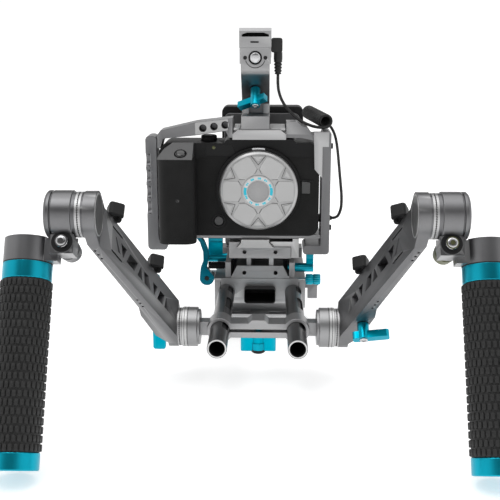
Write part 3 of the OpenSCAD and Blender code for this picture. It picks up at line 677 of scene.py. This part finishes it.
def make_front_details():
    place = front_place()
    lens = (LENS.x / MM, LENS.z / MM)
    front = -CAMERA_FRONT
    covering = prism(rounded(box_outline(-54, 75.5, 49.6, 143), 3), front - 0.3, front + 0.45,
                     holes=[circle(*lens, 37.3, 96), circle(*RELEASE, 6.4)])
    piece("front_covering", covering, LEATHER, "camera", place=place)
    window = prism(rounded([(-47.5, 144.2), (-20, 144.2), (-24, 153.6), (-46, 153.6)], 1.2),
                   front - 0.2, front + 0.35)
    piece("lamp_window", window, BLACK, "camera", place=place, bevel=0.2)
    lamp = lathe([(0, front), (1.5, front), (1.5, front + 0.6), (0.9, front + 0.9), (0, front + 1.0)], 24)
    piece("lamp", lamp, AMBER, "camera", place=front_place(-39.9, 151.2))
    lug = prism(rounded([(36.0, 111.6), (43.3, 111.6), (43.3, 121.4), (36.0, 122.4)], 0.6),
                front, front + 1.6)
    piece("front_lug", lug, SATIN_GREY, "camera", place=place, bevel=0.4)
    ledge = prism(rounded([(33.5, 123.2), (45.5, 121.6), (45.5, 122.6), (33.5, 124.2)], 0.3),
                  front, front + 1.9)
    piece("front_ledge", ledge, BLACK, "camera", place=place, bevel=0.2)
    collar = lathe([(4.45, front - 0.5), (6.3, front - 0.5), (6.3, front + 0.5), (5.8, front + 1.2),
                    (4.9, front + 1.2), (4.45, front + 0.6)], 40)
    piece("release_collar", collar, BLACK, "camera", place=front_place(*RELEASE))
    release = lathe([(0, 42), (4, 42), (4, 46), (3.5, 46.6), (1.5, 46.4), (0, 46.3)], 32)
    piece("release_button_face", release, SATIN_GREY, "release_button", ["release_button"],
          place=front_place(*RELEASE))
    sensor = lathe([(0, 67.6), (1.5, 67.6), (1.5, 68.1), (1.1, 68.25), (0, 68.25)], 24)
    piece("remote_window", sensor, GLOSS, "camera", place=front_place(-69.7, 108.7))
    mark = arc_band(34.4, 36.0, 81, 99, 48.8, 49.35)
    piece("mount_mark", mark, STEEL, "camera", place=front_place(*lens), bevel=0.2)


def make_top_details():
    """Shutter button and mode dial."""
    press = Vector(JOINTS["shutter_press"]["axis"])
    dome = lathe([(0, -3.5), (5.1, -3.5), (5.1, -2.5), (4.6, -2.5), (4.6, 0.2), (4.2, 0.9), (3.2, 1.4),
                  (1.6, 1.65), (0, 1.7)], 48)
    piece("shutter_button_dome", dome, GLOSS, "shutter_button", ["shutter_button"],
          place=facing(SHUTTER, -press), sharp=ROUND)
    low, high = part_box("mode_dial")
    tall = (high.z - low.z) / MM
    dial = lathe([(0, 0), (6.9, 0), (7, 0.4, 0.5), (7, tall - 1, 0.5), (6.5, tall - 0.3), (5.6, tall),
                  (5.2, tall - 0.4), (0, tall - 0.4)], 120, 30)
    piece("mode_dial_knurled", dial, BLACK, "mode_dial", ["mode_dial"],
          place=Matrix.Translation(((low.x + high.x) / 2, (low.y + high.y) / 2, low.z)), sharp=ROUND)


def make_eyepiece():
    hood = prism(rounded(box_outline(-15.5, 131, 15.5, 155.5), 5), -12, 0,
                 holes=[rounded(box_outline(-11, 135, 11, 151.5), 3)])
    moved(hood, front_place() @ shifted(0, 0, 5.2))
    piece("eyecup", hood, RUBBER, "camera", bevel=1.0)
    glass = prism(rounded(box_outline(-11.5, 134.5, 11.5, 152), 2), -5.2, -4.5)
    piece("eyepiece_glass", glass, GLOSS, "camera", place=front_place())


PAD_FOOT = 58.8    # planes of the cap's face, mm in front of Y = 0
INLAY_FACE = 59.6


def make_cap():
    """Mount cap: six pads round a ring of blue ticks, small kites between them, and black lines of painted shade
    in its engraved grooves.
    """
    place = front_place(LENS.x / MM, LENS.z / MM)
    cup = lathe([(0, 45), (24.6, 45), (24.6, 49.4), (33.6, 49.4), (34, 49.8), (34, 56.2), (33.4, 57.2),
                 (31.8, 58.6), (30.9, 59.0), (14, 59.0), (13.9, 59.8), (13.2, 60), (12.8, 59.9),
                 (12.8, 59.4), (9.8, 59.4), (9.8, 59.9), (9.3, 59.9), (9.1, 59.3), (0, 59.3)], 128)
    piece("cap_cup", cup, SILVER, "body_cap", ["body_cap"], place=place)
    pads = []
    lines = []
    for k in range(6):
        turn = turned("Z", 60 * k)
        pad = [(14.5, -4.0), (17.3, -8.8), (28.8, -8.6), (30.4, -6.0),
               (30.4, 6.0), (28.8, 8.6), (17.3, 8.8), (14.5, 4.0)]
        kite = [(25.3, 0), (29.6, -4.3), (30.0, 0), (29.6, 4.3)]
        pads.append(moved(prism(rounded(pad, 1.5), PAD_FOOT, 59.75), turn))
        half = turn @ turned("Z", 30)
        pads.append(moved(prism(rounded(kite, 0.5), PAD_FOOT, 59.5), half))
        for side in (-1, 1):
            lines.append(moved(strip((22.8, 0), (30.6, side * 6.3), 0.4, 58.9, 59.12), half))
            lines.append(moved(strip((14.4, side * 5.0), (17.2, side * 9.3), 0.3, 58.9, 59.10), turn))
    piece("cap_pads", joined(*pads), SILVER, "body_cap", place=place, bevel=0.45, steps=3)
    # Black strips where the grooves are engraved: painted shade.
    piece("cap_lines", joined(*lines), BLACK, "body_cap", place=place)
    inlay = lathe([(9.85, 59.3), (12.75, 59.3), (12.75, 59.7), (9.85, 59.7)], 96)
    piece("cap_inlay", inlay, SILVER, "body_cap", place=place)
    ticks = []
    for k in range(24):
        tick = strip((10.5, 0), (12.2, 0), 0.9 + 0.4 * (k % 3), INLAY_FACE, 59.8)
        ticks.append(moved(tick, turned("Z", 15 * k + 7 * (k % 2))))
    sweeps = [arc_band(10.1, 12.5, start, start + 34, INLAY_FACE, 59.85) for start in (-17, 163)]
    piece("cap_ticks", joined(*ticks, *sweeps), BLUE, "body_cap", place=place)
    disc = lathe([(0, 59.2), (8.9, 59.2), (8.9, 59.5), (0, 59.5)], 64)
    piece("cap_disc", disc, GREY, "body_cap", place=place)


HANDLE_FACE = 54.9        # mm in front of Y = 0, just under the face that grooves are drawn on
HANDLE_GROOVE = 55.06
PIN_ASIDE = 8.4


def make_handle_details():
    """Record button, with painted shade in its recess, groove and pin holes; painted shade in a slot on the face
    and in the shoe; and the lever's screw.
    """
    low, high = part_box("record_button")
    x = (low.x + high.x) / 2 / MM
    z = (low.z + high.z) / 2 / MM
    place = front_place(x, z)
    dome = lathe([(0, 51), (4.4, 51), (4.4, 56), (4.0, 56.5), (3.6, 56.5), (2.8, 56.9), (0, 57)], 48)
    piece("record_button_dome", dome, STEEL, "record_button", ["record_button"], place=place, sharp=25)
    # Painted shade: a black wall and floor in the button's recess, a black arc in its groove and black pins in the
    # pin holes.
    painted_shade_lining = lathe([(5.3, 47.3), (5.57, 47.3), (5.57, 54.8), (5.3, 54.8)], 48)
    floor = lathe([(0, 47.1), (5.57, 47.1), (5.57, 47.5), (0, 47.5)], 48)
    groove = arc_band(7.9, 8.5, 196, 344, HANDLE_FACE, HANDLE_GROOVE)
    pins = [moved(lathe([(0, 51.1), (1.55, 51.1), (1.55, 54.7), (0, 54.7)], 24), shifted(aside, 0, 0))
            for aside in (-PIN_ASIDE, PIN_ASIDE)]
    piece("record_recess", joined(painted_shade_lining, floor, groove, *pins), BLACK, "camera", place=place)
    # Painted shade: a black slot on the face, and a black floor and back in the shoe.
    slot = prism(rounded(box_outline(-8.3, 239.0, -1.3, 240.4), 0.6, 3), HANDLE_FACE, HANDLE_GROOVE)
    shoe_floor = block((x - 11.2, 243.9, 32.5), (x + 11.2, 244.1, 54.7))
    shoe_back = block((x - 11.2, 244, 32.2), (x + 11.2, 247.2, 32.6))
    piece("handle_slot", joined(slot, shoe_floor, shoe_back), BLACK, "camera", place=front_place())
    screw = lathe([(0, 0), (2.9, 0), (2.9, 0.5), (2.5, 0.9), (1.4, 0.9), (1.2, 0.3), (0, 0.3)], 32)
    axis = Vector(JOINTS["handle_lever_turn"]["axis"])
    piece("tee_screw", screw, STEEL, "handle_lever",
          place=facing(joint_place("handle_lever_turn") + axis * 17.9 * MM, axis))


def make_cage_details():
    """Light plate round the threaded holes, ridges of the top rail, and painted shade inside the holes."""
    holes = [(-49.4 + 9.6 * k, 167.4 + 1.4 * k) for k in range(3)]
    outline = [(-56, 161.8), (-30.3, 165.4), (-27.8, 165.7), (-27.8, 175.4), (-56, 172.1)]
    plate = prism(rounded(outline, 0.8), 41.8, 42.4, holes=[circle(*hole, 3.3) for hole in holes])
    piece("thread_plate", plate, SILVER, "camera", place=front_place(), bevel=0.15)
    # Painted shade: black sleeves inside the threaded holes.
    painted_shade_linings = [moved(lathe([(2.7, 30.6), (3.12, 30.6), (3.12, 41.6), (2.7, 41.6)], 32), shifted(x, z, 0))
               for x, z in holes]
    piece("thread_painted_shade_linings", joined(*painted_shade_linings), BLACK, "camera", place=front_place())
    ridges = []
    for k in range(5):
        y = -46.5 + 8 * k
        for x0, x1 in ((-22.8, -17.2), (8.2, 21.4)):
            ridges.append(prism(rounded(box_outline(x0, y, x1, y + 4.2), 0.8, 2), 166, 168.1))
    piece("rail_ridges", joined(*ridges), SILVER, "camera", bevel=0.3)


make_camera_parts()
make_camera_details()
make_cap()
make_handle_details()
make_cage_details()


# ---- bracket, arms and grips ----

BOSS_R = 15.5    # mm, radius of the bracket's round ends


def make_bracket():
    refined("rosette_bracket", LIGHT_GREY, 0.7)
    for name, mirror in SIDES.items():
        rim = mirror @ outwards(PIVOT.y, PIVOT.z)
        band = lathe([(BOSS_R, 55.8), (15.82, 56.1), (15.82, 59.6), (BOSS_R, 59.9)], 96)
        piece("bracket_band_" + name, band, SILVER, "bracket", place=rim)
        # Two black rings where the grooves are: painted shade.
        grooves = [lathe([(BOSS_R, x), (15.86, x), (15.86, x + 0.35), (BOSS_R, x + 0.35)], 96)
                   for x in (55.2, 57.7)]
        piece("bracket_grooves_" + name, joined(*grooves), BLACK, "bracket", place=rim)
    refined("bracket_screw", BLUE, 0.8, 3)
    low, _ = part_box("bracket_screw")
    centre = middle("bracket_screw")
    button = lathe([(0, 0), (4.6, 0), (5.6, 0.8), (5.65, 2.8), (5.2, 3.0), (0, 3.0)], 48)
    piece("bracket_screw_cap", button, BLACK, "bracket_screw",
          place=Matrix.Translation((centre.x, centre.y, low.z - 0.6 * MM)))


make_bracket()

# all in mm
SLEEVE_R = (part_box("grip_sleeve_left")[1].x - GRIP_X) / MM
CORE_R = (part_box("grip_cap_left")[1].x - GRIP_X) / MM
SLEEVE_TOP = -43.2
SLEEVE_END = -151.4
LUG_ROWS = 20
LUGS_AROUND = 30
LUG_W = 2.7
LUG_H = 4.4
LUG_RISE = 1.2
TEETH = 60
TEETH_INNER = 9
TEETH_OUTER = 15.1
TEETH_FOOT = 1.9     # behind the plane where two rings meet
TEETH_TOP = 0.12
BARREL_END = 125.5


def sleeve_mesh():
    """A rubber tube with staggered rows of small upright lugs."""
    wall = SLEEVE_R - LUG_RISE
    bm = lathe([(11, SLEEVE_END + 0.1), (wall, SLEEVE_END + 0.1), (wall, SLEEVE_TOP), (11, SLEEVE_TOP)], 96)
    pitch = (SLEEVE_TOP - SLEEVE_END) / LUG_ROWS
    outline = rounded(box_outline(-LUG_W / 2, -LUG_H / 2, LUG_W / 2, LUG_H / 2), 1.1, 2)
    rings = ((1.06, wall - 0.2), (1.0, SLEEVE_R - 0.3), (0.84, SLEEVE_R))
    for row in range(LUG_ROWS):
        height = SLEEVE_END + pitch * (row + 0.5)
        for k in range(LUGS_AROUND):
            turn = 2 * math.pi * (k + 0.5 * (row % 2)) / LUGS_AROUND
            loops = []
            for scale, radius in rings:
                loop = []
                for u, v in outline:
                    angle = turn + u * scale / SLEEVE_R
                    loop.append(bm.verts.new((radius * math.cos(angle) * MM, radius * math.sin(angle) * MM,
                                              (height + v * scale) * MM)))
                loops.append(loop)
            for a, b in zip(loops, loops[1:]):
                for i in range(len(a)):
                    bm.faces.new((a[i], a[i - 1], b[i - 1], b[i]))
            bm.faces.new(loops[-1])
    return bm


def tooth_rings(name, mirror):
    """The two pairs of toothed rings that lock an arm: each faces its partner across a plane."""
    lower = mirror @ outwards(PIVOT.y, PIVOT.z)
    arm_top = mirror @ ARM_FRAME @ outwards(0, ARM_LENGTH * MM)
    grip = mirror @ GRIP_FRAME @ outwards(0, 0)
    flip = turned("X", 180)
    rings = (("bracket_teeth_", "bracket", lower, LOWER_TEETH, False),
             ("arm_teeth_lower_", "arm_" + name, lower, LOWER_TEETH, True),
             ("arm_teeth_upper_", "arm_" + name, arm_top, UPPER_TEETH, False),
             ("knuckle_teeth_", "grip_" + name, grip, UPPER_TEETH, True))
    for title, body, place, plane, back in rings:
        level = -plane if back else plane
        bm = toothed_ring(TEETH_INNER, TEETH_OUTER, level - TEETH_FOOT, level - TEETH_TOP, TEETH)
        piece(title + name, moved(bm, flip) if back else bm, LIGHT_GREY, body, place=place)


def make_grip(name, mirror):
    place = mirror @ GRIP_FRAME @ Matrix.Translation((GRIP_X, GRIP_BACK, 0))
    body = "grip_" + name
    piece("sleeve_" + name, sleeve_mesh(), RUBBER, body, ["grip_sleeve_" + name], place=place, sharp=ROUND)
    refined("grip_core_" + name, BLUE, 0.8, 3)
    refined("grip_cap_" + name, BLUE, 1.0, 3)
    refined("grip_head_" + name, GREY, 1.4, 3)
    refined("knuckle_" + name, GREY, 0.5)
    refined("knuckle_knob_" + name, OLIVE if name == "left" else DARK_GREY, 1.2, 3)
    dot = lathe([(0, 15.6), (1.1, 15.6), (1.1, 16.1), (0.8, 16.2), (0, 16.2)], 24)
    piece("barrel_pin_" + name, dot, SILVER, body, place=mirror @ GRIP_FRAME @ shifted(BARREL_END, 0, 0))
    across = GRIP_FRAME.inverted() @ joint_place("knuckle_knob_turn_left")
    front = mirror @ GRIP_FRAME @ facing((across.x, 0, across.z), FORWARD)
    # A black ring round the knob's screw: painted shade in its socket.
    recess = lathe([(4.2, 6.3), (6.9, 6.3), (6.9, 6.62), (6.4, 6.75), (4.4, 6.75), (4.2, 6.6)], 48)
    piece("knob_recess_" + name, recess, BLACK, body, place=front)
    dome = lathe([(0, 9.2), (1.5, 9.2), (1.6, 9.9), (2.6, 9.85), (3.5, 9.5), (4.1, 8.8), (4.3, 8.0),
                  (4.3, 7.3), (0, 7.3)], 40)
    piece("knob_screw_" + name, dome, STEEL, "knuckle_knob_" + name, place=front, sharp=ROUND)
    seam = lathe([(12, -31.9), (CORE_R + 0.05, -31.9), (CORE_R + 0.05, -31.2), (12, -31.2)], 96)
    piece("collar_seam_" + name, seam, BLACK, body, place=place)


def make_arm(name, mirror):
    refined("arm_" + name, GREY, 0.7)
    refined("arm_lever_" + name, BLUE, 0.8, 3)
    refined("arm_clips_" + name, BLACK, 0.5)
    place = mirror @ ARM_FRAME @ outwards(0, ARM_LENGTH * MM)
    # The disc's inner face in dark grey: painted shade.
    disc = lathe([(0, 102.6), (13.2, 102.6), (13.2, 103.1), (0, 103.1)], 72)
    piece("arm_disc_" + name, disc, DARK_GREY, "arm_" + name, place=place)
    # A silver rim on the disc's chamfer: a painted highlight.
    rim = lathe([(13.3, 102.5), (14.3, 102.65), (14.3, 103.1), (13.3, 103.1)], 72)
    piece("arm_disc_rim_" + name, rim, SILVER, "arm_" + name, place=place)


def make_arm_extras():
    """A small blue screw behind the lower clip of the right arm, and the screw of the left arm's lever."""
    place = MIRROR @ ARM_FRAME @ facing(at(78.5, 0, 44), (0, 1, 0))
    stud = lathe([(0, 15.5), (3, 15.5), (3, 20), (2.5, 20.6), (0, 20.6)], 32)
    piece("arm_screw_right", stud, BLUE, "arm_right", place=place)
    axis = -Vector(JOINTS["arm_lever_turn_left"]["axis"])
    screw = lathe([(0, 8.5), (3.0, 8.5), (3.0, 9.3), (2.6, 9.7), (1.5, 9.7), (1.3, 9.2), (0, 9.2)], 32)
    piece("arm_lever_screw_left", screw, STEEL, "arm_lever_left",
          place=facing(joint_place("arm_lever_turn_left"), axis))


for side, mirror in SIDES.items():
    make_arm(side, mirror)
    make_grip(side, mirror)
    tooth_rings(side, mirror)
make_arm_extras()


# ---- floor and light ----

FLOOR_HALF = 6    # m


def make_floor():
    """A plain pale floor under the lowest point of the rig."""
    low, _ = cad_box
    bm = bmesh.new()
    bmesh.ops.create_grid(bm, x_segments=8, y_segments=8, size=FLOOR_HALF)
    bmesh.ops.translate(bm, vec=(0, 0, low.z - 1 * MM), verts=bm.verts)
    mesh = bpy.data.meshes.new("floor")
    bm.to_mesh(mesh)
    bm.free()
    material = bpy.data.materials.new("floor")
    material.use_nodes = True
    shader = material.node_tree.nodes["Principled BSDF"]
    shader.inputs["Base Color"].default_value = (0.85, 0.85, 0.85, 1)
    shader.inputs["Roughness"].default_value = 0.9
    shader.inputs["Emission Color"].default_value = (1, 1, 1, 1)
    shader.inputs["Emission Strength"].default_value = 0.5
    mesh.materials.append(material)
    floor = bpy.data.objects.new("floor", mesh)
    bpy.context.scene.collection.objects.link(floor)


# height up the ramp and brightness there
SKY_BANDS = ((0.0, 1.05), (0.28, 0.95), (0.42, 0.20), (0.50, 0.04), (0.66, 0.05), (0.80, 0.6), (1.0, 0.9))


def make_world():
    """A pale studio, dark above the horizon and bright at the sides, so that metal shows soft stripes."""
    world = bpy.data.worlds.new("studio")
    bpy.context.scene.world = world
    world.use_nodes = True
    nodes = world.node_tree.nodes
    links = world.node_tree.links
    place = nodes.new("ShaderNodeTexCoord")
    split = nodes.new("ShaderNodeSeparateXYZ")
    links.new(place.outputs["Generated"], split.inputs[0])
    ramp = nodes.new("ShaderNodeValToRGB")
    elements = ramp.color_ramp.elements
    for i, (height, level) in enumerate(SKY_BANDS):
        element = elements[i] if i < 2 else elements.new(height)
        element.position = height
        element.color = (level, level, level, 1)
    links.new(split.outputs["Z"], ramp.inputs["Fac"])
    aside = nodes.new("ShaderNodeMath")
    aside.operation = "ABSOLUTE"
    links.new(split.outputs["X"], aside.inputs[0])
    sides = nodes.new("ShaderNodeMapRange")
    for socket, value in (("From Min", 0.4), ("From Max", 0.75), ("To Min", 0.0), ("To Max", 1.0)):
        sides.inputs[socket].default_value = value
    links.new(aside.outputs[0], sides.inputs["Value"])
    brighter = nodes.new("ShaderNodeVectorMath")
    brighter.operation = "MAXIMUM"
    links.new(ramp.outputs["Color"], brighter.inputs[0])
    links.new(sides.outputs["Result"], brighter.inputs[1])
    links.new(brighter.outputs["Vector"], nodes["Background"].inputs["Color"])
    nodes["Background"].inputs["Strength"].default_value = 1.0


def make_light(name, place, size, power):
    data = bpy.data.lights.new(name, "AREA")
    data.shape = "RECTANGLE"
    data.size, data.size_y = size
    data.energy = power
    obj = bpy.data.objects.new(name, data)
    obj.matrix_world = facing(place, Vector(place) - middle("camera_body"))
    bpy.context.scene.collection.objects.link(obj)


make_floor()
make_world()
make_light("key", (-0.6, -0.8, 1.9), (1.2, 1.0), 8)
make_light("fill", (0.9, -0.6, 1.7), (1.0, 1.0), 2)
make_light("top", (0, 0.2, 1.6), (1.6, 1.6), 8)
bpy.context.scene.view_settings.view_transform = "Standard"
